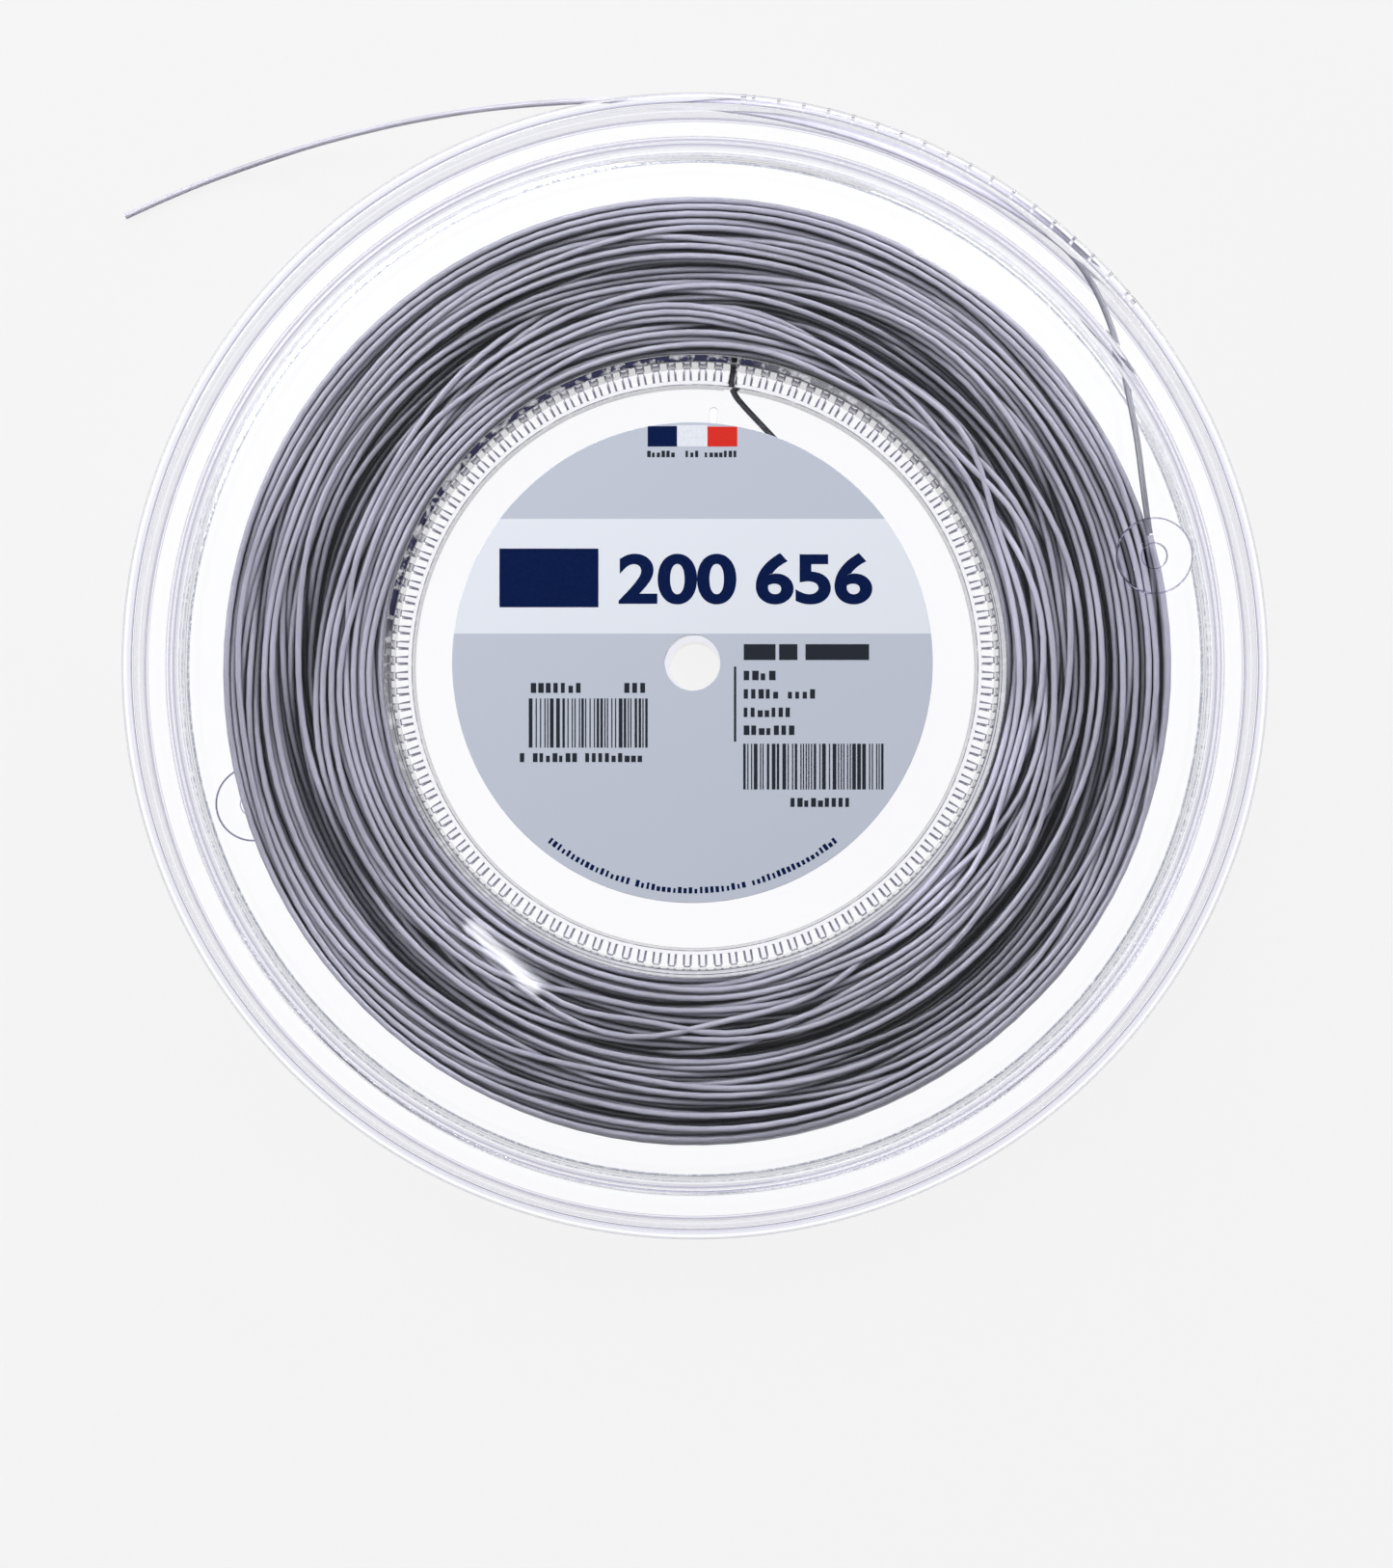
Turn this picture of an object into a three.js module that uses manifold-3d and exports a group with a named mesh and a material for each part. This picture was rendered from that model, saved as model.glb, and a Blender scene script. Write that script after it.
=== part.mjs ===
// A reel that holds 200 metres of racket string: two clear moulded halves pressed together
// at a ribbed drum, a round paper label, and the string wound between them.
// Millimetres, +Z up. The reel lies flat on its rear rim, the labelled half is on top,
// and the origin is the middle of the rear face.

import * as THREE from 'three';
import { mergeVertices } from 'three/addons/utils/BufferGeometryUtils.js';
import Module from 'manifold-3d';

const wasm = await Module();
wasm.setup();

// The reel as a whole
const reelRadius = 115;
const reelThickness = 36;
const fitGap = 0.3;
const roundSegments = 60;
const cutOverrun = 1;
const joinOverlap = 0.3;

// The disc of each half: a brim, a step down to a sunken floor, and a lip at the edge
const discWall = 1.4;
const brimOverhang = 0.9;
const lipWall = 1;
const slotWidth = 3;
const rimWidth = 9.5;
const stepRun = 1.5;
const floorRecess = 3;
const edgeRound = 0.4;
const stepRound = 0.9;
const filletSteps = 2;

// The drum: a long sleeve on the front half, a splined collar inside it on the rear half
const sleeveWall = 1.2;
const collarWall = 1.2;
const collarHeight = 10;
const splineCount = 120;
const splineDepth = 2.5;
const splineWidthShare = 0.5;

// The spindle tube of the front half and the short socket that holds its end
const boreRadius = 5;
const tubeWall = 1.2;
const socketWall = 1.2;
const socketHeight = 4;

// Grip ribs on the outside of each lip, in one row between two end blocks
const ribCount = 18;
const ribPitchDegrees = 2.55;
const ribWidth = 0.55;
const ribHeight = 0.75;
const endBlockWidth = 1;
const endBlockStepShare = 0.4;
const frontRibStartDegrees = 84.1;
const rearRibStartDegrees = 74.4;

// A round pad with a hole for a winding peg on each disc
const padRadius = 7.75;
const padHeight = 0.6;
const padInset = 1.25;
const pegHoleRadius = 2.5;
const frontPadDegrees = 13.5;
const rearPadDegrees = 197;

// The slot in the front web where the string's inner end can be tied
const tieSlotInset = 9.6;
const tieSlotDegrees = 85.8;
const tieSlotWidth = 1.6;
const tieSlotLength = 6;

// The label, stuck on a little off centre
const labelInset = 10.3;
const labelHoleRadius = 5.6;
const labelThickness = 0.2;
const labelOffset = new THREE.Vector2(-0.5, 0.7);

// The string and its winding
const stringDiameter = 1.25;
const stringSides = 8;
const windingInset = 8.1;
const windingDepth = 33.3;
const windingLoops = 14;
const loopSteps = 24;
const loopSides = 6;
const sideClearance = 0.4;
const windingEndDegrees = 16;

// Two shallow hollows round each end face of the winding, where the string lies short of the disc
const hollowInsets = [18.2, 7.5];
const hollowDepth = 3;
const hollowHalfWidth = 2.7;
const hollowFloorHalfWidth = 0.9;

// The notch at the foot of the drum that lets the string's inner end into the hub
const notchDegrees = 82.7;
const notchWidth = 2.6;
const notchHeight = 2.6;
const innerEndSteps = 14;

// Where the string's inner end lies on the rear web, after the notch
const innerEndRoute = [
  [7.5, 58.2],
  [8.2, 56.2],
  [9.9, 54],
  [12.3, 51.4],
  [15.6, 47.9],
  [19.3, 43.9],
  [23, 39.8],
  [25.1, 37.4],
];

// The loose tail: off the winding, out through the slot between the lips, down to the surface
const tailSteps = 80;
const tailRoute = [
  [90.9, 31.3, 30.3],
  [90.2, 37.1, 29.3],
  [89.2, 46, 27],
  [87.9, 53.9, 24.8],
  [86.6, 60.8, 22.8],
  [84.2, 69.7, 20.6],
  [80.6, 78, 18.8],
  [76.2, 84.2, 18.1],
  [70.4, 88.9, 18],
  [63, 93.8, 18],
  [53.9, 98.8, 18],
  [44.9, 103.1, 18],
  [35.1, 106.9, 18],
  [25.3, 109.8, 18],
  [15.5, 112, 18],
  [5.7, 113.5, 18],
  [-4.1, 114.6, 18],
  [-12.5, 115.2, 18],
  [-21.8, 115.2, 17.6],
  [-29.6, 114.9, 16.8],
  [-37.5, 114.4, 15.5],
  [-45.4, 113.7, 13.6],
  [-53.4, 112.7, 11.3],
  [-61.4, 111.4, 8.9],
  [-69.4, 109.8, 6.4],
  [-77.5, 107.9, 4.2],
  [-85.5, 105.6, 2.5],
  [-93.5, 103, 1.4],
  [-101.5, 100.1, 0.9],
  [-109.5, 96.8, 0.75],
  [-117.4, 93.2, 0.75],
];

// Sizes that follow from those above; heights are measured from a half's own outer face
const stringRadius = stringDiameter / 2;
const floorInside = floorRecess + discWall;
const lipOuterRadius = reelRadius - brimOverhang;
const lipInnerRadius = lipOuterRadius - lipWall;
const lipHeight = (reelThickness - slotWidth) / 2;
const insideDepth = reelThickness - floorInside;
const stepRadius = reelRadius - rimWidth;
const floorRadius = stepRadius - stepRun;
const padDistance = floorRadius - padRadius - padInset;
const windingRadius = floorRadius - windingInset;
const sleeveRadius = windingRadius - windingDepth;
const sleeveInnerRadius = sleeveRadius - sleeveWall;
const splineTipRadius = sleeveInnerRadius - fitGap;
const collarRadius = splineTipRadius - splineDepth;
const labelRadius = collarRadius - labelInset;
const tieSlotDistance = collarRadius - tieSlotInset;
const tubeRadius = boreRadius + tubeWall;
const socketInnerRadius = tubeRadius + fitGap;
const reachAcross = insideDepth - fitGap;

const clearPlastic = new THREE.MeshStandardMaterial({
  color: '#eef0f8',
  roughness: 0.08,
  metalness: 0,
  transparent: true,
  opacity: 0.35,
});
const labelPaper = new THREE.MeshStandardMaterial({ color: '#c1c8d4', roughness: 0.45, metalness: 0 });
const stringGrey = new THREE.MeshStandardMaterial({ color: '#8f8e99', roughness: 0.3, metalness: 0 });

const radians = THREE.MathUtils.degToRad;

// A closed three.js geometry as a solid that can be joined and cut
function solid(geometry) {
  const bare = geometry.clone();
  bare.deleteAttribute('normal');
  bare.deleteAttribute('uv');
  const merged = mergeVertices(bare);
  return new wasm.Manifold(new wasm.Mesh({
    numProp: 3,
    vertProperties: merged.attributes.position.array,
    triVerts: new Uint32Array(merged.index.array),
  }));
}

// The way back from a solid to a three.js geometry
function geometryOf(body) {
  const { vertProperties, triVerts } = body.getMesh();
  const geometry = new THREE.BufferGeometry();
  geometry.setAttribute('position', new THREE.BufferAttribute(vertProperties, 3));
  geometry.setIndex(new THREE.BufferAttribute(triVerts, 1));
  geometry.computeVertexNormals();
  return geometry;
}

// Corners are [radius, height, rounding]; each rounding becomes an arc that touches both sides
function roundedOutline(corners) {
  return corners.flatMap(([radius, height, rounding = 0], index) => {
    const corner = new THREE.Vector2(radius, height);
    if (rounding === 0) {
      return [corner];
    }
    const back = new THREE.Vector2(...corners.at(index - 1)).sub(corner).normalize();
    const onward = new THREE.Vector2(...corners[(index + 1) % corners.length]).sub(corner).normalize();
    const halfAngle = back.angleTo(onward) / 2;
    const centre = back.clone().add(onward).setLength(rounding / Math.sin(halfAngle)).add(corner);
    const touch = back.clone().multiplyScalar(rounding / Math.tan(halfAngle)).add(corner);
    const turn = Math.sign(onward.cross(back)) * (Math.PI - 2 * halfAngle);
    return Array.from({ length: filletSteps + 1 }, (_, step) => (
      touch.clone().rotateAround(centre, (turn * step) / filletSteps)
    ));
  });
}

// Turns an outline, listed anticlockwise with the axis on its left, about the Z axis
function revolve(corners) {
  const outline = roundedOutline(corners);
  return new THREE.LatheGeometry([...outline, outline[0]], roundSegments).rotateX(Math.PI / 2);
}

// A straight-sided ring or disc about the Z axis
function ring(innerRadius, outerRadius, bottom, top) {
  return revolve([[innerRadius, bottom], [outerRadius, bottom], [outerRadius, top], [innerRadius, top]]);
}

// A round rod about the Z axis
function rod(radius, bottom, top) {
  const height = top - bottom;
  return new THREE.CylinderGeometry(radius, radius, height, roundSegments / 3)
    .rotateX(Math.PI / 2)
    .translate(0, 0, bottom + height / 2);
}

// A block that stands on the radius at an angle: from one radius to another, and so wide
function radialBlock(degrees, innerRadius, outerRadius, width, bottom, top) {
  return new THREE.BoxGeometry(outerRadius - innerRadius, width, top - bottom)
    .translate((innerRadius + outerRadius) / 2, 0, (bottom + top) / 2)
    .rotateZ(radians(degrees));
}

function polar(distance, degrees) {
  return new THREE.Vector2(distance, 0).rotateAround(new THREE.Vector2(), radians(degrees));
}

// The disc of a half with its lip, seen with the outer face at the bottom. The step keeps the
// disc's wall, so its inner corners lie further out by the wall times the tangent of half its slope.
function discOutline(inwardPart) {
  const slope = Math.atan2(floorRecess, stepRun);
  const shift = discWall * Math.tan(slope / 2);
  return [
    [boreRadius, floorRecess],
    [floorRadius, floorRecess, stepRound],
    [stepRadius, 0, stepRound],
    [reelRadius, 0, edgeRound],
    [reelRadius, discWall, edgeRound],
    [lipOuterRadius, discWall],
    [lipOuterRadius, lipHeight],
    [lipInnerRadius, lipHeight],
    [lipInnerRadius, discWall, stepRound],
    [stepRadius + shift, discWall],
    [floorRadius + shift, floorInside],
    ...inwardPart,
  ];
}

// Grip ribs and end blocks on the outside of the lip, from the brim to the lip's edge
function gripRibs(firstDegrees, step) {
  const bottom = discWall - joinOverlap;
  const inside = lipOuterRadius - joinOverlap;
  const outside = lipOuterRadius + ribHeight;
  const block = (degrees, width) => solid(radialBlock(degrees, inside, outside, width, bottom, lipHeight));
  const ribs = Array.from({ length: ribCount }, (_, index) => block(firstDegrees + index * step, ribWidth));
  const beforeFirst = firstDegrees - step * endBlockStepShare;
  const afterLast = firstDegrees + step * (ribCount - 1 + endBlockStepShare);
  return [...ribs, block(beforeFirst, endBlockWidth), block(afterLast, endBlockWidth)];
}

// The pad for a winding peg, standing on the sunken floor's outer face, and its hole
function pegPad(degrees) {
  const place = polar(padDistance, degrees);
  const pad = rod(padRadius, floorRecess - padHeight, floorRecess + joinOverlap);
  const hole = rod(pegHoleRadius, floorRecess - padHeight - cutOverrun, floorInside + cutOverrun);
  return [pad, hole].map((geometry) => solid(geometry.translate(place.x, place.y, 0)));
}

// The way through sleeve and collar for the string's inner end, open at the rear web
function stringNotch(bottom) {
  const inside = collarRadius - collarWall - cutOverrun;
  const outside = sleeveRadius + cutOverrun;
  return solid(radialBlock(notchDegrees, inside, outside, notchWidth, bottom, floorInside + notchHeight));
}

// The front half: disc, lip, the long drum sleeve and the spindle tube. It is drawn outer face
// down and then turned over about the X axis, so its angles run the other way round.
function frontHalf() {
  const outline = discOutline([
    [sleeveRadius, floorInside],
    [sleeveRadius, reachAcross],
    [sleeveInnerRadius, reachAcross],
    [sleeveInnerRadius, floorInside],
    [tubeRadius, floorInside],
    [tubeRadius, reachAcross],
    [boreRadius, reachAcross],
  ]);
  const [pad, pegHole] = pegPad(-frontPadDegrees);
  const ribs = gripRibs(-frontRibStartDegrees, ribPitchDegrees);
  const slotStart = tieSlotDistance - tieSlotLength / 2;
  const slotEnd = tieSlotDistance + tieSlotLength / 2;
  const slotBottom = floorRecess - cutOverrun;
  const slotTop = floorInside + cutOverrun;
  const tieSlot = solid(
    radialBlock(-tieSlotDegrees, slotStart, slotEnd, tieSlotWidth, slotBottom, slotTop),
  );
  const whole = [pad, ...ribs].reduce((body, part) => body.add(part), solid(revolve(outline)));
  const turned = geometryOf(whole.subtract(pegHole).subtract(tieSlot))
    .rotateX(Math.PI)
    .translate(0, 0, reelThickness);
  return geometryOf(solid(turned).subtract(stringNotch(floorInside - cutOverrun)));
}

// The ring of splines that grips the inside of the sleeve: one outline with square teeth,
// drawn once round and raised from the rear web
function splinedCollar() {
  const pitch = 360 / splineCount;
  const halfTooth = (pitch * splineWidthShare) / 2;
  const outline = Array.from({ length: splineCount }, (_, index) => {
    const middle = index * pitch;
    return [
      polar(collarRadius, middle - halfTooth),
      polar(splineTipRadius, middle - halfTooth),
      polar(splineTipRadius, middle + halfTooth),
      polar(collarRadius, middle + halfTooth),
    ];
  }).flat();
  const shape = new THREE.Shape(outline);
  const inside = Array.from({ length: roundSegments }, (_, index) => (
    polar(collarRadius - collarWall, (360 / roundSegments) * index)
  ));
  shape.holes.push(new THREE.Path(inside));
  const depth = collarHeight + joinOverlap;
  return new THREE.ExtrudeGeometry(shape, { depth, bevelEnabled: false })
    .translate(0, 0, floorInside - joinOverlap);
}

// The rear half: disc, lip, the splined collar and the socket for the spindle tube
function rearHalf() {
  const socketTop = floorInside + socketHeight;
  const socketRadius = socketInnerRadius + socketWall;
  const outline = discOutline([
    [socketRadius, floorInside],
    [socketRadius, socketTop],
    [socketInnerRadius, socketTop],
    [socketInnerRadius, floorInside],
    [boreRadius, floorInside],
  ]);
  const [pad, pegHole] = pegPad(rearPadDegrees);
  const ribs = gripRibs(rearRibStartDegrees, -ribPitchDegrees);
  const collar = solid(splinedCollar()).subtract(stringNotch(floorInside));
  const parts = [pad, collar, ...ribs];
  const whole = parts.reduce((body, part) => body.add(part), solid(revolve(outline)));
  return geometryOf(whole.subtract(pegHole));
}

// The label: a thin paper ring lying on the front half's sunken floor
function label() {
  const bottom = reelThickness - floorRecess;
  return ring(labelHoleRadius, labelRadius, bottom, bottom + labelThickness)
    .translate(labelOffset.x, labelOffset.y, 0);
}

// The corners of the hollows round one end face of the winding, from the inner one outwards
function hollowCorners(face, floor) {
  return hollowInsets.flatMap((inset) => {
    const middle = windingRadius - inset;
    return [
      [middle - hollowHalfWidth, face],
      [middle - hollowFloorHalfWidth, floor],
      [middle + hollowFloorHalfWidth, floor],
      [middle + hollowHalfWidth, face],
    ];
  });
}

// The turns under the outer layer, as one ring on the drum sleeve with hollows in its end faces
const layerRadius = windingRadius - stringRadius;
const coreRadius = layerRadius * Math.cos(Math.PI / loopSteps) - stringRadius - fitGap;

function windingCore() {
  const inner = sleeveRadius + fitGap;
  const bottom = floorInside + fitGap;
  const top = insideDepth - fitGap;
  return revolve([
    [inner, bottom],
    ...hollowCorners(bottom, bottom + hollowDepth),
    [coreRadius, bottom],
    [coreRadius, top],
    ...hollowCorners(top, top - hollowDepth).reverse(),
    [inner, top],
  ]);
}

// The outer layer's centre line: a steady helix from the rear disc to the front disc
function layerPoints() {
  const low = floorInside + sideClearance + stringRadius;
  const high = insideDepth - sideClearance - stringRadius;
  const count = windingLoops * loopSteps;
  return Array.from({ length: count + 1 }, (_, index) => {
    const degrees = windingEndDegrees + (360 / loopSteps) * (index - count);
    const place = polar(layerRadius, degrees);
    return new THREE.Vector3(place.x, place.y, low + ((high - low) * index) / count);
  });
}

// The least distance between points half a loop or more apart, less the string's diameter
function leastGap(points) {
  let least = Infinity;
  points.forEach((point, index) => {
    for (let other = index + loopSteps / 2; other < points.length; other += 1) {
      least = Math.min(least, point.distanceTo(points[other]));
    }
  });
  return least - stringDiameter;
}

// One unbroken tube along the points: a ring of corners at each, square to the way it runs
function tubeThrough(points, radius, sides) {
  const up = new THREE.Vector3(0, 0, 1);
  const corners = points.flatMap((point, index) => {
    const before = points[Math.max(index - 1, 0)];
    const after = points[Math.min(index + 1, points.length - 1)];
    const way = after.clone().sub(before).normalize();
    const outward = way.clone().cross(up).normalize();
    const upward = outward.clone().cross(way);
    return Array.from({ length: sides }, (_, side) => {
      const angle = (2 * Math.PI * side) / sides;
      return point.clone()
        .addScaledVector(outward, radius * Math.cos(angle))
        .addScaledVector(upward, radius * Math.sin(angle));
    });
  });
  const triangles = [];
  for (let index = 0; index < points.length - 1; index += 1) {
    for (let side = 0; side < sides; side += 1) {
      const here = index * sides + side;
      const beside = index * sides + ((side + 1) % sides);
      triangles.push(here, here + sides, beside, beside, here + sides, beside + sides);
    }
  }
  const last = (points.length - 1) * sides;
  for (let side = 1; side < sides - 1; side += 1) {
    triangles.push(0, side, side + 1, last, last + side + 1, last + side);
  }
  const geometry = new THREE.BufferGeometry().setFromPoints(corners).setIndex(triangles);
  geometry.computeVertexNormals();
  return geometry;
}

// A loose length of string: a round section carried along a smooth curve
function looseString(points, steps) {
  const section = Array.from({ length: stringSides }, (_, side) => (
    polar(stringRadius, (-360 * side) / stringSides)
  ));
  const curve = new THREE.CatmullRomCurve3(points);
  return new THREE.ExtrudeGeometry(new THREE.Shape(section), { steps, extrudePath: curve });
}

// The tail starts a small gap past the winding's end and runs straight for one diameter
function tailPoints(layer) {
  const end = layer.at(-1);
  const way = end.clone().sub(layer.at(-2)).normalize();
  const start = end.clone().addScaledVector(way, fitGap);
  const straight = start.clone().addScaledVector(way, stringDiameter);
  return [start, straight, ...tailRoute.map((place) => new THREE.Vector3(...place))];
}

// The inner end comes square out of the winding, through the notch, and lies on the rear web
function innerEndPoints() {
  const height = floorInside + fitGap + stringRadius;
  const outside = polar(sleeveRadius, notchDegrees);
  const inside = polar(sleeveRadius - stringDiameter, notchDegrees);
  const route = innerEndRoute.map(([x, y]) => new THREE.Vector2(x, y));
  return [outside, inside, ...route].map(({ x, y }) => new THREE.Vector3(x, y, height));
}

const layer = layerPoints();
console.log(`least gap of the outer layer to itself: ${leastGap(layer).toFixed(2)} mm`);

const reel = new THREE.Group();
const pieces = [
  ['rear_half', rearHalf(), clearPlastic],
  ['front_half', frontHalf(), clearPlastic],
  ['label', label(), labelPaper],
  ['winding_core', windingCore(), stringGrey],
  ['winding_outer_layer', tubeThrough(layer, stringRadius, loopSides), stringGrey],
  ['string_tail', looseString(tailPoints(layer), tailSteps), stringGrey],
  ['string_inner_end', looseString(innerEndPoints(), innerEndSteps), stringGrey],
];
for (const [name, geometry, material] of pieces) {
  const mesh = new THREE.Mesh(geometry, material.clone());
  mesh.name = name;
  reel.add(mesh);
}

export default reel;
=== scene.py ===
# A clear plastic reel that holds 200 m of grey racket string, with a round label on its front.
# Lengths are written in millimetres and become metres when a mesh is made.

import math

import bpy
import numpy as np
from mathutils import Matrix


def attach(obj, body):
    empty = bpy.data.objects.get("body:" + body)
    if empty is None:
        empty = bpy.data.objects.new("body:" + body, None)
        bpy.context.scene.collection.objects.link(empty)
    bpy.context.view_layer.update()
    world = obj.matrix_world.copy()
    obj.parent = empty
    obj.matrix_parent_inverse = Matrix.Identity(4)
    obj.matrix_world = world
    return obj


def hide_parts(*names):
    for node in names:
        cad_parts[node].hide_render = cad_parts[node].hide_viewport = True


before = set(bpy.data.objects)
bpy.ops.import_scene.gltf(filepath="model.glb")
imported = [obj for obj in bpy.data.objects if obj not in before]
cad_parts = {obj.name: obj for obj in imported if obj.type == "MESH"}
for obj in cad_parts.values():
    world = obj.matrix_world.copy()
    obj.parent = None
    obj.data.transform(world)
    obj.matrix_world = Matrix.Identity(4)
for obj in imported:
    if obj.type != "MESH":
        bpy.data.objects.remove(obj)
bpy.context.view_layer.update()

# The view, straight down on the label from 1.26 m above the reel's front. The lens takes in
# 314 mm of that plane over the picture's height.
mm = 0.001
thickness = 36
camera_distance = 1260
picture_rows = 1626
row_at_front = 0.1933
camera_data = bpy.data.cameras.new("camera")
camera_data.lens = camera_data.sensor_width * camera_distance / (picture_rows * row_at_front)
camera = bpy.data.objects.new("camera", camera_data)
camera.location = (0.31 * mm, -23.7 * mm, (thickness + camera_distance) * mm)
bpy.context.scene.collection.objects.link(camera)
bpy.context.scene.camera = camera


# The string's loose tail: smooth grey co-polyester monofilament, drawn and then wound warm, so
# that it keeps a bend. It runs out between the two lips and springs away past the rim.
string_radius = 0.625

# Radius and height of the winding's last turn, and the degrees at which that turn ends and the
# tail, in line with it, begins.
edge_turn = (95.275, 30.575)
winding_end = 16
tail_start = [[91.5399, 26.5581, 30.5759], [91.3551, 27.7943, 30.5797]]
tail_route = [
    [90.9, 31.3, 30.3], [90.2, 37.1, 29.3], [89.2, 46, 27], [87.9, 53.9, 24.8],
    [86.6, 60.8, 22.8], [84.2, 69.7, 20.6], [80.6, 78, 18.8], [76.2, 84.2, 18.1],
    [70.4, 88.9, 18], [63, 93.8, 18], [53.9, 98.8, 18], [44.9, 103.1, 18],
    [35.1, 106.9, 18], [25.3, 109.8, 18], [15.5, 112, 18], [5.7, 113.5, 18],
    [-4.1, 114.6, 18], [-12.5, 115.2, 18], [-21.8, 115.2, 17.6], [-29.6, 114.9, 16.8],
    [-37.5, 114.4, 15.5], [-45.4, 113.7, 13.6], [-53.4, 112.7, 11.3], [-61.4, 111.4, 8.9],
    [-69.4, 109.8, 6.4], [-77.5, 107.9, 4.2], [-85.5, 105.6, 2.5], [-93.5, 103, 1.4],
    [-101.5, 100.1, 0.9], [-109.5, 96.8, 0.75], [-117.4, 93.2, 0.75],
]


def smooth_path(knots, count):
    """Cubic Hermite curve through the knots. The parameter is the distance run from knot to
    knot, and the slope at a knot is the gradient of the places over that parameter."""
    knots = np.asarray(knots, float)
    run = np.concatenate([[0], np.cumsum(np.linalg.norm(np.diff(knots, axis=0), axis=1))])
    slope = np.gradient(knots, run, axis=0)
    at = np.linspace(0, run[-1], count)
    k = np.clip(np.searchsorted(run, at, side="right") - 1, 0, len(knots) - 2)
    gap = (run[k + 1] - run[k])[:, None]
    t = (at - run[k])[:, None] / gap
    from_knot = (2 * t**3 - 3 * t**2 + 1) * knots[k] + (t**3 - 2 * t**2 + t) * gap * slope[k]
    to_knot = (3 * t**2 - 2 * t**3) * knots[k + 1] + (t**3 - t**2) * gap * slope[k + 1]
    return from_knot + to_knot


def length_of(path):
    """Sum of the straight steps along the path."""
    return np.linalg.norm(np.diff(path, axis=0), axis=1).sum()


def tube(path, sides):
    """Points on a round string, path step by side: a circle about each point of the path, in
    the plane of the level direction across the path and the direction square to both."""
    ahead = np.gradient(path, axis=0)
    ahead /= np.linalg.norm(ahead, axis=1, keepdims=True)
    across = np.cross(ahead, (0, 0, 1))
    across /= np.linalg.norm(across, axis=1, keepdims=True)
    square = np.cross(ahead, across)
    turn = np.linspace(0, 2 * math.pi, sides, endpoint=False)[None, :, None]
    circle = np.cos(turn) * across[:, None] + np.sin(turn) * square[:, None]
    return path[:, None] + string_radius * circle


def surface(name, grid, loop=False, along=None, sharp=60):
    """Mesh of four-sided faces on a grid of points, rows by columns. Each row closes on itself.
    The last row joins the first where loop is true, and else a flat face closes each end.
    The UV map gives the share of the way round and the distance along, in metres."""
    rows, columns = grid.shape[:2]
    number = np.arange(rows * columns).reshape(rows, columns)
    near = number if loop else number[:-1]
    far = np.roll(number, -1, axis=0) if loop else number[1:]
    faces = np.stack([near, np.roll(near, -1, 1), np.roll(far, -1, 1), far], axis=-1)
    corners = faces.reshape(-1)
    sizes = np.full(corners.size // 4, 4)
    if not loop:
        corners = np.concatenate([corners, number[0][::-1], number[-1]])
        sizes = np.concatenate([sizes, [columns, columns]])
    mesh = bpy.data.meshes.new(name)
    mesh.vertices.add(rows * columns)
    mesh.vertices.foreach_set("co", (grid * mm).astype(np.float32).reshape(-1))
    mesh.loops.add(corners.size)
    mesh.loops.foreach_set("vertex_index", corners.astype(np.int32))
    mesh.polygons.add(sizes.size)
    mesh.polygons.foreach_set("loop_start", (np.cumsum(sizes) - sizes).astype(np.int32))
    mesh.update(calc_edges=True)
    if along is not None:
        column = np.arange(columns)[None, :, None]
        u = np.broadcast_to((column + [0, 1, 1, 0]) / columns, faces.shape)
        v = np.stack([along[:-1], along[:-1], along[1:], along[1:]], axis=-1)[:, None] * mm
        uv = np.stack([u, np.broadcast_to(v, faces.shape)], axis=-1).reshape(-1, 2)
        ends = np.repeat([[0.5, along[0] * mm], [0.5, along[-1] * mm]], columns, axis=0)
        layer = mesh.uv_layers.new(name="along")
        layer.data.foreach_set("uv", np.concatenate([uv, ends]).astype(np.float32).reshape(-1))
    mesh.shade_smooth()
    mesh.set_sharp_from_angle(angle=math.radians(sharp))
    return mesh


def piece(name, mesh, material, slot, *nodes):
    """Object on that mesh, which rides on the reel and stands for those nodes."""
    thing = bpy.data.objects.new(name, mesh)
    bpy.context.scene.collection.objects.link(thing)
    mesh.materials.clear()
    mesh.materials.append(material)
    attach(thing, "root")
    if nodes:
        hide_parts(*nodes)
    return thing


class Value:
    """A socket that gives a number. Arithmetic on it adds Math nodes to its finish."""

    def __init__(self, finish, socket):
        self.finish = finish
        self.socket = socket

    def maths(self, operation, *terms):
        links = dict(enumerate(terms))
        return self.finish.node("ShaderNodeMath", {"operation": operation}, links)

    def __add__(self, other):
        return self.maths("ADD", self, other)

    def __sub__(self, other):
        return self.maths("SUBTRACT", self, other)

    def __rsub__(self, other):
        return self.maths("SUBTRACT", other, self)

    def __mul__(self, other):
        return self.maths("MULTIPLY", self, other)

    def __truediv__(self, other):
        return self.maths("DIVIDE", self, other)

    def __gt__(self, other):
        return self.maths("GREATER_THAN", self, other)

    def __lt__(self, other):
        return self.maths("LESS_THAN", self, other)

    __radd__ = __add__
    __rmul__ = __mul__


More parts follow.
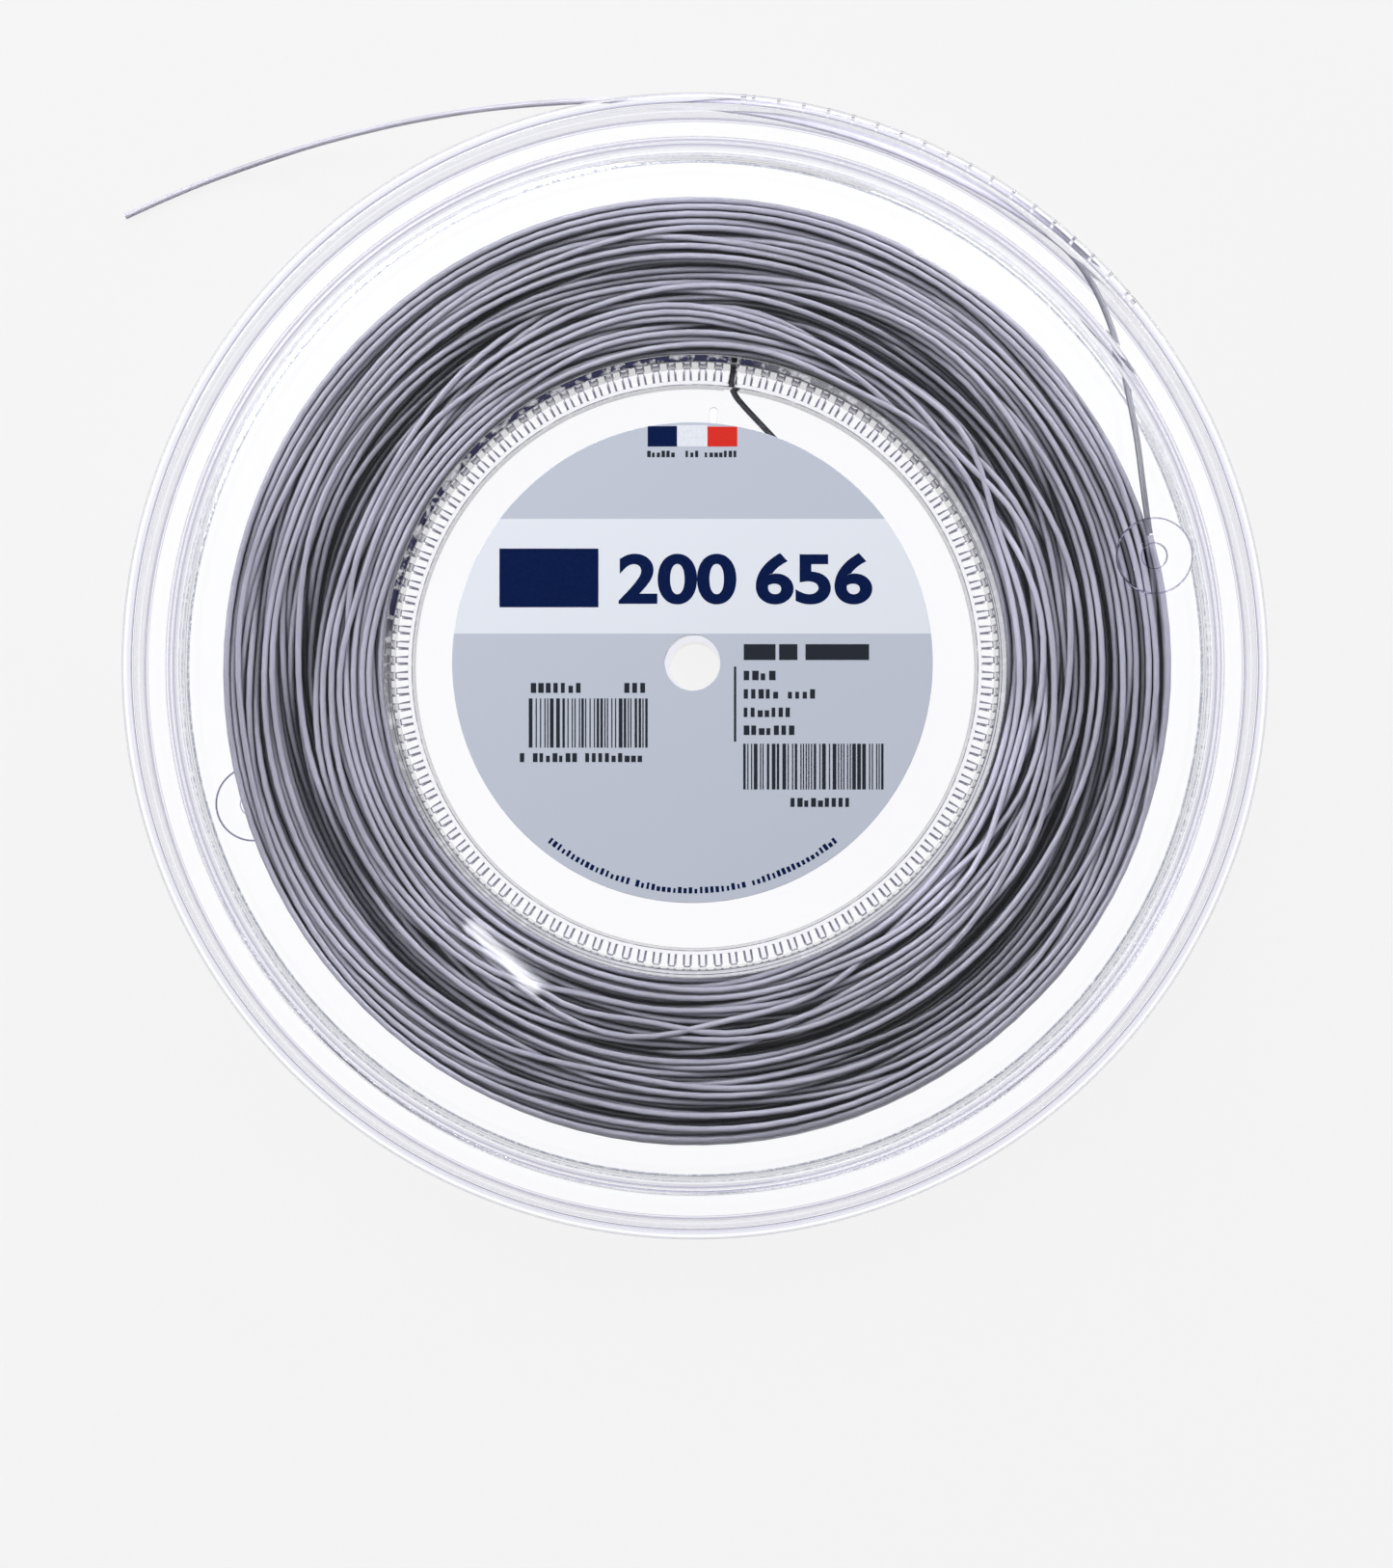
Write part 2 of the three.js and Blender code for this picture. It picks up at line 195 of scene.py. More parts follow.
class Finish:
    """A material or world with an empty node tree."""

    def __init__(self, block):
        block.use_nodes = True
        self.block = block
        self.tree = block.node_tree
        self.tree.nodes.clear()

    def node(self, kind, settings=None, links=None, output=0):
        """Adds a node: first its settings, then the values or links of its sockets."""
        node = self.tree.nodes.new(kind)
        for name, value in (settings or {}).items():
            setattr(node, name, value)
        for name, value in (links or {}).items():
            if isinstance(value, Value):
                self.tree.links.new(value.socket, node.inputs[name])
            else:
                node.inputs[name].default_value = value
        return Value(self, node.outputs[output]) if node.outputs else None

    def mix(self, share, first, second):
        """Colour between the two, at that share of the second."""
        return self.node(
            "ShaderNodeMix", {"data_type": "RGBA"}, {0: share, 6: first, 7: second}, output=2
        )

    def noise(self, place, scale, detail=2, roughness=0.5):
        """Smooth noise from about 0.2 to 0.8 at that place."""
        links = {"Vector": place, "Scale": scale, "Detail": detail, "Roughness": roughness}
        return self.node("ShaderNodeTexNoise", None, links)

    def stretch(self, value, low, high, new_low=0, new_high=1):
        """The value's range from low to high becomes the new one, and no further."""
        links = {"Value": value, "From Min": low, "From Max": high}
        links.update({"To Min": new_low, "To Max": new_high})
        return self.node("ShaderNodeMapRange", None, links)

    def within(self, value, low, high):
        """1 where the value lies between low and high, in millimetres, and 0 elsewhere."""
        return (value > low * mm) * (value < high * mm)

    def vector(self, operation, first, second, output=0):
        """Vector Math on the two. DOT_PRODUCT, DISTANCE and LENGTH have their output at 1."""
        links = {0: first} if second is None else {0: first, 1: second}
        return self.node("ShaderNodeVectorMath", {"operation": operation}, links, output)

    def from_bore(self, place):
        """The place's height, its level part, and how far that lies from the bore."""
        height = self.node("ShaderNodeSeparateXYZ", None, {0: place}, output="Z")
        level = self.vector("MULTIPLY", place, (1, 1, 0))
        return height, level, self.vector("LENGTH", level, None, 1)


def string_finish(name, dark, light):
    """Grey monofilament: faint die lines along it, and a tone that changes slowly from place to
    place. The tail is drawn dark inside the reel with painted shade, and light outside and
    lightest in the slot between the lips with painted light. The winding has painted light where
    its turns lie flat on the disc at the right of the drum, and painted shade, nearly black, where
    they lie more than 2.3 mm under its faces and its outer turns."""
    finish = Finish(bpy.data.materials.new(name))
    place = finish.node("ShaderNodeTexCoord", output="Object")
    way = finish.node("ShaderNodeTexCoord", output="UV")
    run = finish.node("ShaderNodeSeparateXYZ", None, {0: way}, output="Y")
    height, level, reach = finish.from_bore(place)
    line = finish.noise(finish.vector("MULTIPLY", way, (9, 7, 0)), 1)
    cloud = finish.noise(place, 40)
    tone = finish.stretch(cloud * 0.75 + line * 0.25, 0.32, 0.68, 0.82, 1.2)
    # Painted light on the tail: lighter in the slot between the lips, and from the slot on its lit
    # colour in place of its shaded one.
    slot_painted_light = finish.stretch(run, 0.055, 0.075) * finish.stretch(run, 0.15, 0.175, 1, 0)
    painted_light_from_slot = finish.stretch(run, 0.055, 0.085)
    # Painted light: the turns that lie flush on the disc to the right of the drum are drawn paler.
    rightward = finish.vector("DOT_PRODUCT", level, (0.966, -0.26, 0), 1)
    near_drum = finish.stretch(reach, 69 * mm, 73.5 * mm, 1, 0)
    flat = finish.stretch(rightward / reach, 0.65, 0.9) * near_drum
    tone = (tone + 0.6 * slot_painted_light) * (1 + 0.45 * flat * (height > 27.5 * mm))
    # Painted shade: the string is drawn nearly black where it lies more than 2.3 mm under the
    # winding's faces or its outer turns.
    middle, half_width, outside = 17.8 * mm, 13.4 * mm, 95.9 * mm
    under_face = half_width - height.maths("ABSOLUTE", height - middle)
    deep = under_face.maths("MINIMUM", under_face, outside - reach)
    plain = finish.mix(painted_light_from_slot, (*dark, 1), (*light, 1))
    lit = finish.node("ShaderNodeVectorMath", {"operation": "SCALE"}, {0: plain, "Scale": tone})
    shade = finish.stretch(deep, 0.4 * mm, 2.3 * mm, 0, 0.96)
    colour = finish.mix(shade, lit, (0.008, 0.010, 0.020, 1))
    relief = finish.node(
        "ShaderNodeBump", None, {"Strength": 0.05, "Distance": 1e-5, "Height": line}
    )
    skin = finish.node(
        "ShaderNodeBsdfPrincipled",
        None,
        {
            "Base Color": colour,
            "Roughness": finish.stretch(line, 0.3, 0.7, 0.2, 0.28),
            "Normal": relief,
            "IOR": 1.6,
        },
    )
    finish.node("ShaderNodeOutputMaterial", None, {"Surface": skin})
    return finish.block


wound_grey = (0.3, 0.297, 0.365)
grey_monofilament = string_finish("grey_monofilament", wound_grey, wound_grey)
# The loose tail's two colours are painted shade inside the reel and painted light outside it, on
# the same grey string.
free_monofilament = string_finish("free_monofilament", (0.13, 0.13, 0.16), (0.44, 0.43, 0.51))


def string_cord(name, node, knots, count, material):
    """A free stretch of the string through the knots."""
    path = smooth_path(knots, count)
    grid = tube(path, 12)
    along = np.linspace(0, length_of(path), count)
    mesh = surface(name, grid, along=along)
    cord = piece(name, mesh, material, "grey_string", node)
    tuple(path[0] * mm)
    [tuple(point) for point in path[::4] * mm]


string_cord("loose_tail", "string_tail", tail_start + tail_route, 401, free_monofilament)


# The string's inner end: the first 31 mm of the same string, which leaves the winding through
# the notch at the foot of the drum and lies on the rear web, under the label.
notch_degrees = 82.7
inner_height = 5.325


def polar(distance, degrees):
    """Place at that distance from the bore in that direction."""
    return distance * math.cos(math.radians(degrees)), distance * math.sin(math.radians(degrees))


inner_places = [
    polar(62.6, notch_degrees), polar(61.35, notch_degrees), (7.5, 58.2), (8.2, 56.2), (9.9, 54),
    (12.3, 51.4), (15.6, 47.9), (19.3, 43.9), (23, 39.8), (25.1, 37.4),
]
inner_route = [(x, y, inner_height) for x, y in inner_places]
string_cord("inner_end", "string_inner_end", inner_route, 81, grey_monofilament)


# The winding: the same string, laid in 25 layers and 401 turns by a guide that runs to and fro
# between the discs. Near the discs the turns wander by some millimetres and lie across each
# other, and leave two hollows where the guide turned back early. The outside is a little uneven.
turns = 401
steps = 96
layers = 25
drum_turn = 63.525
floor_turn = 5.1
hollows = (77.7, 88.4)
hollow_breadth = 2.6
hollow_depth = 2.4
lowest_side = math.radians(285)
steps_before_notch = 17
winding_pieces = 4
random = np.random.default_rng(25)
turn_at = np.arange(turns * steps) / steps
share_round = (turn_at + (winding_end / 360 - (turns * steps - 1) / steps)) % 1
angle = 2 * np.pi * share_round
layer_at = np.minimum(turn_at / turn_at[-1] * layers, layers - 1e-6)


def drift(turn_knots, round_knots):
    """Smooth random number along the string: values at knots over the turns and over the angle,
    eased from knot to knot both ways, and the same after a full turn."""
    knots = random.standard_normal((turn_knots + 2, round_knots))
    down = turn_at / turns * turn_knots
    across = share_round * round_knots
    row = down.astype(int)
    column = across.astype(int) % round_knots
    a = down - row
    b = across - across.astype(int)
    a = a * a * (3 - 2 * a)
    b = b * b * (3 - 2 * b)
    after = (column + 1) % round_knots
    first = knots[row, column] * (1 - b) + knots[row, after] * b
    second = knots[row + 1, column] * (1 - b) + knots[row + 1, after] * b
    return first * (1 - a) + second * a


def short_of_disc(radius):
    """From 0 to 1 and back over the hollows' breadth to each side of them: (1 - t^2)^2."""
    t = np.clip(np.abs(radius - np.array(hollows)[:, None]) / hollow_breadth, 0, 1)
    return ((1 - t**2) ** 2).sum(axis=0)


# Each layer lies level but for its last 7 percent, which climbs to the next. The outermost ones
# bulge a little at the lowest side and are flatter elsewhere.
layer = np.floor(layer_at)
depth = (layer + np.clip((layer_at - layer - 0.93) / 0.07, 0, 1)) / (layers - 1)
room = np.clip(np.sin(np.pi * depth), 0, 1) ** 0.8 * 0.88 + 0.12
there_and_back = 1 - np.abs(1 - layer_at % 2)
at_disc = np.clip((np.abs(2 * there_and_back - 1) - 0.5) / 0.4, 0, 1)
edge = 2.2 * (0.5 + 0.5 * np.cos(angle - lowest_side)) ** 1.5 - 1.4
radius = drum_turn + (edge_turn[0] - drum_turn) * depth + edge * depth**2
radius += room * (0.5 * drift(8, 5) + at_disc * (1.6 * drift(9, 5) + 3 * drift(90, 7)))
radius -= np.clip(6 * depth - 5, 0, 1) * np.clip(drift(20, 6) * 0.6 + 0.3, 0, 1.5)
middle = 0.5 * (floor_turn + edge_turn[1])
height = floor_turn + (edge_turn[1] - floor_turn) * there_and_back + 0.5 * drift(60, 5)
height = middle + (height - middle) * (
    1 - hollow_depth / (edge_turn[1] - middle) * short_of_disc(radius)
)


def settle(radius, height, sweeps):
    """Turns that lie closer than a string's width at the same angle, or in some places a little
    more, push each other apart, over and over. Where two cross, the one of higher rank is led
    over the other, towards the nearer disc, less so where a turn ends and the next begins. The
    string is stiff, so each push is spread over the stretch to both sides."""
    search_every, search_reach, seam_steps = 8, 2.4, 12
    lead_height, push_share, spreads, overshoot = 1.5, 0.3, 12, 1.6
    drawn = np.stack([radius, height])
    shift = np.zeros_like(drawn)
    rank = random.random(turns)
    to_disc = np.sign(height - middle)
    highest = edge_turn[0] + edge * depth**2
    closest = 2 * string_radius + 0.02 + 0.2 * np.clip(0.4 + 0.6 * drift(24, 6), 0, 1)
    for sweep in range(sweeps):
        if sweep % search_every == 0:
            r = radius.reshape(turns, steps).T.astype(np.float32)
            z = height.reshape(turns, steps).T.astype(np.float32)
            apart = (r[:, :, None] - r[:, None]) ** 2 + (z[:, :, None] - z[:, None]) ** 2
            apart[:, np.arange(turns)[:, None] >= np.arange(turns)] = np.inf
            column, first, second = np.nonzero(apart < search_reach**2)
            one = first * steps + column
            other = second * steps + column
            lead = lead_height * (rank[first] - rank[second]) * to_disc[one]
            lead *= np.clip(np.minimum(column, steps - 1 - column) / seam_steps, 0, 1)
        out = radius[one] - radius[other]
        up = height[one] - height[other]
        short = np.maximum(closest[one] - np.hypot(out, up), 0)
        push = push_share * short / np.maximum(np.hypot(out, up + lead), 0.05)
        total = np.zeros_like(shift)
        for index, step in enumerate((push * out, push * (up + lead))):
            total[index] += np.bincount(one, step, radius.size)
            total[index] -= np.bincount(other, step, radius.size)
        for spread in range(spreads):
            total[:, 1:-1] = (total[:, :-2] + 2 * total[:, 1:-1] + total[:, 2:]) / 4
        shift += overshoot * total
        radius = np.clip(drawn[0] + shift[0], drum_turn - 0.2, highest)
        height = np.clip(drawn[1] + shift[1], floor_turn, edge_turn[1] + 0.03)
        shift = np.stack([radius, height]) - drawn
    return radius, height


radius, height = settle(radius, height, 140)

# Over the last third of its last turn the winding is eased to where the tail starts.
hold = np.clip((turn_at - turn_at[-1] + 0.3) / 0.25, 0, 1)
hold = hold * hold * (3 - 2 * hold)
radius += hold * (edge_turn[0] - radius)
height += hold * (edge_turn[1] - height)
way = np.stack([radius * np.cos(angle), radius * np.sin(angle), height], axis=1)
way = way[steps_before_notch:]
along = np.concatenate([[0], np.cumsum(np.linalg.norm(np.diff(way, axis=0), axis=1))])
print("winding", round(along[-1] * mm, 1), "m")
wound = tube(way, 8)
cuts = np.linspace(0, len(way) - 1, winding_pieces + 1).astype(int)
for index, (first, last) in enumerate(zip(cuts[:-1], cuts[1:])):
    part = slice(first, last + 1)
    mesh = surface(f"winding_{index + 1}", wound[part], along=along[part])
    outermost = index == winding_pieces - 1
    nodes = ("winding_core", "winding_outer_layer") if outermost else ("winding_core",)
    piece(f"winding_{index + 1}", mesh, grey_monofilament, "grey_string", *nodes)


# The rear half: one clear polystyrene moulding with a disc, a stepped floor, a lip, and inside
# it a collar with 120 splines that presses into the drum, and a socket for the spindle tube.
rib_height = 0.75
rib_pitch = 2.55
rib_count = 18
rib_width, end_rib_width = 0.55, 1
rib_slope = 0.03
lip_radius = 114.5
spline_count = 120
spline_depth = 2.5
spline_half_foot, spline_half_top, spline_slope = 0.87, 0.62, 0.04
pad_distance = 95
rear_pad = polar(pad_distance, 197)
front_pad = polar(pad_distance, 13.5)

# Corners of the disc's section, in the order radius, height, rounding, rib and spline. The step
# slopes down by 3 mm over 1.5 mm, and the wall is 1.4 mm thick there too.
corner_shift = 1.4 * math.tan(0.5 * math.atan2(3, 1.5))
disc_corners = [
    (5, 3, 0, 0, 0), (104, 3, 0.3, 0, 0), (105.5, 0, 1.7, 0, 0), (115, 0, 0.4, 0, 0),
    (115, 1.4, 0.4, 0, 0), (114.1, 1.4, 0, 1, 0), (114.1, 16.5, 0, 1, 0), (113.1, 16.5, 0, 0, 0),
    (113.1, 1.4, 0.9, 0, 0), (105.5 + corner_shift, 1.4, 0.3, 0, 0),
    (104 + corner_shift, 4.4, 1.7, 0, 0),
]
rear_corners = disc_corners + [
    (58.6, 4.4, 0, 0, 1), (58.6, 14.4, 0, 0, 2), (57.65, 14.4, 0.2, 0, 0), (57.4, 4.4, 0.3, 0, 0),
    (7.7, 4.4, 0.3, 0, 0), (7.7, 8.4, 0.2, 0, 0), (6.5, 8.4, 0, 0, 0), (6.5, 4.4, 0, 0, 0),
    (5, 4.4, 0, 0, 0),
]


def rounded(corners, bends=4, guard=0.12):
    """Closed outline of a section through corners (radius, height, rounding, rib, spline). A
    rounded corner becomes an arc that touches both its sides, and has a point just outside
    each end of it, which keeps the flat beside it flat in the shading."""
    outline = []
    for index, (r, z, rounding, rib, spline) in enumerate(corners):
        if rounding == 0:
            outline.append((r, z, rib, spline))
            continue
        corner = np.array([r, z], float)
        back = np.array(corners[index - 1][:2], float) - corner
        on = np.array(corners[(index + 1) % len(corners)][:2], float) - corner
        back /= np.linalg.norm(back)
        on /= np.linalg.norm(on)
        half = 0.5 * math.acos(float(np.clip(back @ on, -1, 1)))
        reach = rounding / math.tan(half)
        middle = corner + (back + on) / np.linalg.norm(back + on) * rounding / math.sin(half)
        first = corner + back * reach - middle
        last = corner + on * reach - middle
        sweep = math.pi - 2 * half
        outline.append((*(corner + back * (reach + guard)), rib, spline))
        for t in np.linspace(0, 1, bends + 1):
            arm = (math.sin((1 - t) * sweep) * first + math.sin(t * sweep) * last) / math.sin(sweep)
            outline.append((*(middle + arm), rib, spline))
        outline.append((*(corner + on * (reach + guard)), rib, spline))
    return np.array(outline)


def comb(centres, half_widths, slope):
    """Places in degrees and heights from 0 to 1 of a row of teeth: each rises over the slope,
    stays at 1 for its width, and falls again."""
    centres = np.asarray(centres, float)[:, None]
    half_widths = np.broadcast_to(half_widths, centres.shape[0])[:, None]
    places = centres + half_widths * [-1, -1, 1, 1] + np.array([-slope, 0, 0, slope])
    order = np.argsort(places.reshape(-1))
    return places.reshape(-1)[order], np.tile([0, 1, 1, 0], len(centres))


def half_mesh(name, outline, rib_start, splines):
    """The outline revolved about the bore, over steps of angle and the edges of the ribs and
    splines. A point's radius is the outline's, and more where a rib or spline stands. The row of
    ribs runs clockwise from rib_start and has a broader rib at each end. The splines are broader
    at their foot (spline 1 in the outline) than at their top (spline 2)."""
    radius, height = outline[:, 0], outline[:, 1]
    area = np.sum(radius * np.roll(height, -1) - height * np.roll(radius, -1))
    outline = outline if area > 0 else outline[::-1]
    rows = np.concatenate([np.arange(rib_count), [-0.4, rib_count - 0.6]])
    widths = np.concatenate([np.full(rib_count, rib_width), [end_rib_width] * 2])
    centres = rib_start - rib_pitch * rows
    order = np.argsort(centres)
    half_widths = np.degrees(widths / 2 / lip_radius)
    rib_places, rib_heights = comb(centres[order], half_widths[order], rib_slope)
    spline_centres = (np.arange(spline_count) + 0.5) * 360 / spline_count
    foot_places, foot_heights = comb(spline_centres, spline_half_foot, spline_slope)
    top_places, top_heights = comb(spline_centres, spline_half_top, spline_slope)
    even = np.concatenate([foot_places, top_places]) if splines else np.arange(360.0)
    degrees = np.unique(np.round(np.concatenate([even, rib_places]) % 360, 4))
    rib = np.interp(degrees, rib_places, rib_heights)
    spline = (outline[:, 3:] == 1) * np.interp(degrees, foot_places, foot_heights)
    spline = spline + (outline[:, 3:] == 2) * np.interp(degrees, top_places, top_heights)
    reach = outline[:, :1] + outline[:, 2:3] * rib_height * rib + spline_depth * spline
    turn = np.radians(degrees)
    heights = np.broadcast_to(outline[:, 1:2], reach.shape)
    grid = np.stack([reach * np.cos(turn), reach * np.sin(turn), heights], axis=-1)
    return surface(name, grid, loop=True, sharp=30)


def disc(place, levels):
    """Round block with its middle at that place: one ring of points for each (radius, height)."""
    turn = np.linspace(0, 2 * math.pi, 64, endpoint=False)
    reach = np.array([level[0] for level in levels])[:, None]
    heights = np.array([level[1] for level in levels])[:, None] + 0 * turn
    x = place[0] + reach * np.cos(turn)
    y = place[1] + reach * np.sin(turn)
    return surface("disc", np.stack([x, y, heights], axis=-1))


def bar(degrees, inner, outer, width, bottom, top, flare=0):
    """Upright block that lies along a radius. With a flare it has round ends, and its top is
    that much larger on every side than its bottom."""
    turn = np.linspace(0, 2 * math.pi, 32, endpoint=False) + math.pi / 32
    middle = 0.5 * (inner + outer)
    levels = []
    for z, more in ((bottom, 0), (top, flare)):
        if flare:
            x = middle + (0.5 * width + more) * np.cos(turn)
            x += np.sign(np.cos(turn)) * 0.5 * (outer - inner - width)
            y = (0.5 * width + more) * np.sin(turn)
        else:
            x = np.array([outer, inner, inner, outer], float)
            y = np.array([1, 1, -1, -1]) * 0.5 * width
        c, s = math.cos(math.radians(degrees)), math.sin(math.radians(degrees))
        levels.append(np.column_stack([x * c - y * s, x * s + y * c, np.full(len(x), z)]))
    return surface("bar", np.stack(levels))


def carve(mesh, added, removed):
    """The mesh joined with each added one and then cut by each removed one."""
    body = bpy.data.objects.new(mesh.name + "_body", mesh)
    bpy.context.scene.collection.objects.link(body)
    tools = []
    for operation, meshes in (("UNION", added), ("DIFFERENCE", removed)):
        for tool_mesh in meshes:
            tool = bpy.data.objects.new("tool", tool_mesh)
            bpy.context.scene.collection.objects.link(tool)
            tools.append(tool)
            step = body.modifiers.new("carve", "BOOLEAN")
            step.operation = operation
            step.solver = "EXACT"
            step.object = tool
    bpy.context.view_layer.update()
    graph = bpy.context.evaluated_depsgraph_get()
    result = bpy.data.meshes.new_from_object(body.evaluated_get(graph))
    result.name = mesh.name
    for thing in tools + [body]:
        bpy.data.objects.remove(thing)
    result.shade_smooth()
    result.set_sharp_from_angle(angle=math.radians(30))
    return result


def clear_finish():
    """Clear polystyrene with a cool tint in its depth and faint flow waves. Its steep walls have
    painted shade that makes them look darker. Thin purplish lines of painted shade run round the
    edge of the step, the lip's inner side and the pads, and speckled ones round both edges of the
    rear half's step, and the step's slope has a faint painted shade. Painted shade makes it dark
    where light is trapped: at the splines' flanks, every 1.5 degrees, round the two sides of their
    collar, and in the drum's wall, most of all at its foot and towards the upper left."""
    finish = Finish(bpy.data.materials.new("clear_polystyrene"))
    place = finish.node("ShaderNodeTexCoord", output="Object")
    height, level, reach = finish.from_bore(place)
    grains = finish.noise(place, 1400, 3, 0.7)
    middle = 0.5 * thickness * mm
    # Painted shade: thin dark lines round the step's edge, the lip's inner side and the pads, and
    # speckled ones round the rear half's step.
    step_edge = finish.within(reach, 105.3, 105.7)
    lip_edge = finish.within(reach, 112.9, 113.2) * ((height > 33.5 * mm) + (height < 2.5 * mm))
    rear_edges = (step_edge + finish.within(reach, 103.9, 104.3)) * (height < middle)
    speckle = finish.stretch(grains, 0.42, 0.54) * rear_edges
    lines = step_edge * (height > middle) + lip_edge
    for pad, side in ((front_pad, height > middle), (rear_pad, height < middle)):
        away = finish.vector("DISTANCE", level, (pad[0] * mm, pad[1] * mm, 0), 1)
        outline = finish.within(away, 7.35, 7.75) + finish.within(away, 2.3, 2.7)
        lines = lines + outline * side
    waves = finish.noise(place, 38)
    relief = finish.node(
        "ShaderNodeBump",
        None,
        {"Strength": 0.15, "Distance": 2e-4, "Height": waves * 0.6 + grains * rear_edges},
    )
    # Painted shade in the drum's wall: near black and blotchy, strongest at its foot and towards
    # the upper left.
    painted_shade_blots = finish.stretch(finish.noise(place, 420, 3, 0.6), 0.35, 0.5, 0.6, 1)
    leftward = finish.vector("DOT_PRODUCT", level, (-0.57, 0.82, 0), 1)
    drum_wall_painted_shade = finish.within(reach, 61.1, 62.9) * finish.within(height, 4.5, 31.5)
    drum_wall_painted_shade = drum_wall_painted_shade * painted_shade_blots * finish.stretch(height, 5.6 * mm, 31.5 * mm, 1, 0.5)
    drum_wall_painted_shade = drum_wall_painted_shade * finish.stretch(leftward / reach, -0.7, 0.7, 0.4, 1)
    # Painted shade: dark lines at the splines' flanks and round the two sides of their collar,
    # where light is trapped.
    east = finish.node("ShaderNodeSeparateXYZ", None, {0: place}, output="X")
    north = finish.node("ShaderNodeSeparateXYZ", None, {0: place}, output="Y")
    flank = east.maths("ARCTAN2", north, east) / math.radians(180 / spline_count)
    flank = flank.maths("FRACT", flank)
    flank = (flank.maths("ABSOLUTE", flank - 0.5) < 0.2) * finish.within(reach, 58.5, 61.2)
    collar_sides = finish.within(reach, 57.1, 57.8) + finish.within(reach, 60.8, 61.3)
    trapped = finish.stretch(flank + collar_sides * painted_shade_blots, 0, 1) * finish.within(height, 4.6, 14.6)
    # Painted shade: the more steeply a surface is seen, the darker it is drawn.
    facing = finish.node("ShaderNodeLayerWeight", None, {"Blend": 0.5}, output="Facing")
    steep = finish.stretch(facing, 0.45, 0.95)
    # Painted shade: the step's slope is drawn a little darker and bluer.
    slope = finish.within(reach, 104, 106.4)
    plain = finish.mix(slope, (0.985, 0.985, 0.995, 1), (0.95, 0.95, 0.975, 1))
    # The speckled lines and the edge lines are painted shade.
    plain = finish.mix(speckle, plain, (0.36, 0.39, 0.5, 1))
    plain = finish.mix(finish.stretch(lines, 0, 1), plain, (0.42, 0.4, 0.54, 1))
    walls = finish.mix(steep * 0.8, plain, (0.2, 0.19, 0.3, 1))
    edges = finish.mix(trapped, walls, (0.05, 0.045, 0.08, 1))
    colour = finish.mix(drum_wall_painted_shade, edges, (0.001, 0.001, 0.006, 1))
    body = finish.node(
        "ShaderNodeBsdfPrincipled",
        None,
        {
            "Base Color": colour,
            "Roughness": speckle * 0.5 + 0.02,
            "Normal": relief,
            "IOR": 1.5,
            "Specular Tint": (0.4, 0.4, 0.42, 1),
            "Transmission Weight": 1,
        },
    )
    tint = finish.node(
        "ShaderNodeVolumeAbsorption", None, {"Color": (0.45, 0.45, 0.68, 1), "Density": 9}
    )
    finish.node("ShaderNodeOutputMaterial", None, {"Surface": body, "Volume": tint})
    return finish.block


clear_polystyrene = clear_finish()

# A low round pad stands out of each disc, with a tapered hole through it, and the notch for the
# string's inner end runs through the foot of the collar and of the drum.
rear_mesh = carve(
    half_mesh("rear_half_clear", rounded(rear_corners), rib_start=74.4, splines=True),
    [disc(rear_pad, [(7.35, 2.4), (7.5, 2.45), (7.6, 2.55), (7.75, 3.1), (7.75, 3.4)])],
    [
        disc(rear_pad, [(2.7, 1), (2.3, 6)]),
        bar(notch_degrees, inner=56, outer=64, width=2.6, bottom=4.4, top=7),
    ],
)
rear_half = piece("rear_half_clear", rear_mesh, clear_polystyrene, "clear_plastic", "rear_half")
rear_half.visible_shadow = False


# The front half: a moulding of the same disc, turned over, with the long drum sleeve that the
# string is wound on, the tube that the spindle turns in, and a short slit at the label's top.
front_corners = disc_corners + [
    (62.6, 4.4, 0.3, 0, 0), (62.6, 31.3, 0.15, 0, 0), (61.4, 31.3, 0.15, 0, 0),
    (61.4, 4.4, 0.3, 0, 0), (6.2, 4.4, 0.3, 0, 0), (6.2, 31.3, 0, 0, 0), (5, 31.3, 0, 0, 0),
]
front_outline = rounded(front_corners)
front_outline[:, 1] = thickness - front_outline[:, 1]
front_mesh = carve(
    half_mesh("front_half_clear", front_outline, rib_start=84.1, splines=False),
    [disc(front_pad, [(7.75, 32.6), (7.75, 32.9), (7.6, 33.45), (7.5, 33.55), (7.35, 33.6)])],
    [
        disc(front_pad, [(2.3, 30), (2.7, 35)]),
        bar(notch_degrees, inner=56, outer=64, width=2.6, bottom=4.4, top=7),
        bar(85.8, inner=46, outer=52, width=1.4, bottom=30, top=35, flare=0.25),
    ],
)
front_half = piece("front_half_clear", front_mesh, clear_polystyrene, "clear_plastic", "front_half")
front_half.visible_shadow = False


# The label: coated paper, die cut round, printed in two greys and glued to the front web. Its
# marks are plain: numbers for the metres and the feet, swatches, stripes and rows of blocks.
label_middle = (-0.5, 0.7)
label_hole, label_edge = 5.6, 48.3
label_bottom, label_top = 33.02, 33.2
label_corners = [
    (label_hole, label_bottom, 0, 0, 0), (label_edge, label_bottom, 0, 0, 0),
    (label_edge, label_top, 0.08, 0, 0), (label_hole, label_top, 0.08, 0, 0),
]
ink_below, ink_above = 0.02, 0.015


def label_mesh():
    """The label's section revolved about its own middle."""
    outline = rounded(label_corners, bends=3, guard=0.05)
    turn = np.linspace(0, 2 * math.pi, 256, endpoint=False)
    x = label_middle[0] + outline[:, :1] * np.cos(turn)
    y = label_middle[1] + outline[:, :1] * np.sin(turn)
    heights = np.broadcast_to(outline[:, 1:2], x.shape)
    return surface("label_paper", np.stack([x, y, heights], axis=-1), loop=True, sharp=30)


